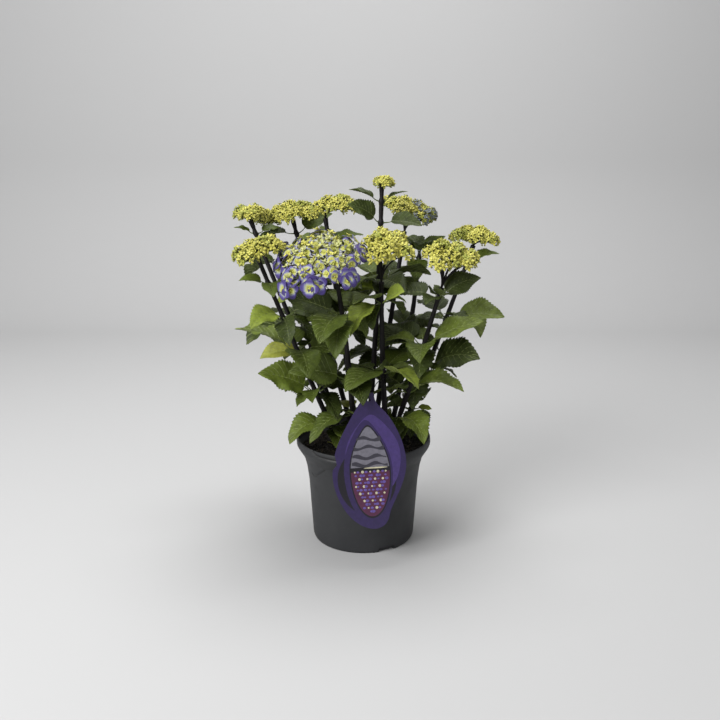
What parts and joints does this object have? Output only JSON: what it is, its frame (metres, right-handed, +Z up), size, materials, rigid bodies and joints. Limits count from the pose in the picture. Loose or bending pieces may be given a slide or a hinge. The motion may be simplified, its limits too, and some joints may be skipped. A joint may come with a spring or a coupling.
{
  "type": "potted hydrangea shrub",
  "caption": "Young hydrangea shrub in a round nursery pot, with fanned dark canes, opposite leaves, flat flower heads and a leaf-shaped card looped to one cane.",
  "frame": {"origin": "middle of the pot's flat underside", "axes": "+Z up along the height; -Y is the front, where the card leans; +X to the right seen from the front"},
  "size_m": [0.4523, 0.3625, 0.6166],
  "materials": {
    "pot": "matte black-grey moulded plastic",
    "soil": "damp dark compost",
    "cane": "near-black satin bark",
    "leaf": "satin green leaf",
    "yellow_bloom": "soft matte yellow buds",
    "violet_bloom": "soft matte violet and yellow florets",
    "tag": "printed card, satin",
    "tag_loop": "thin black elastic"
  },
  "bodies": {
    "root": {"pot": "pot", "soil": "soil", "cane_left_front": "cane", "cane_left_back": "cane", "cane_left_rear": "cane", "cane_back_left": "cane", "cane_back_centre": "cane", "cane_crown": "cane", "cane_back_right": "cane", "cane_back_shoot": "cane", "cane_far_right": "cane", "cane_right_front": "cane", "cane_centre_front": "cane", "cane_centre_left": "cane", "bloom_left_front": "yellow_bloom", "bloom_left_back": "yellow_bloom", "bloom_left_rear": "yellow_bloom", "bloom_back_left": "yellow_bloom", "bloom_back_centre": "yellow_bloom", "bloom_crown": "yellow_bloom", "bloom_back_right": "yellow_bloom", "bloom_far_right": "yellow_bloom", "bloom_right_front": "yellow_bloom", "bloom_centre_front": "yellow_bloom", "bloom_centre_left": "violet_bloom", "tag": "tag", "tag_loop": "tag_loop", "leaves_left_front_1": "leaf", "leaves_left_front_2": "leaf", "leaves_left_front_3": "leaf", "leaves_left_front_4": "leaf", "leaves_left_front_5": "leaf", "leaves_left_back_1": "leaf", "leaves_left_back_2": "leaf", "leaves_left_rear_1": "leaf", "leaves_left_rear_2": "leaf", "leaves_back_left_1": "leaf", "leaves_back_left_2": "leaf", "leaves_back_centre_1": "leaf", "leaves_back_centre_2": "leaf", "leaves_crown_1": "leaf", "leaves_crown_2": "leaf", "leaves_crown_3": "leaf", "leaves_back_right_1": "leaf", "leaves_back_right_2": "leaf", "leaves_back_shoot_1": "leaf", "leaves_back_shoot_2": "leaf", "leaves_far_right_1": "leaf", "leaves_far_right_2": "leaf", "leaves_far_right_3": "leaf", "leaves_far_right_4": "leaf", "leaves_right_front_1": "leaf", "leaves_right_front_2": "leaf", "leaves_right_front_3": "leaf", "leaves_right_front_4": "leaf", "leaves_centre_front_1": "leaf", "leaves_centre_front_2": "leaf", "leaves_centre_left_1": "leaf", "leaves_centre_left_2": "leaf", "leaves_centre_left_3": "leaf"}
  },
  "joints": []
}
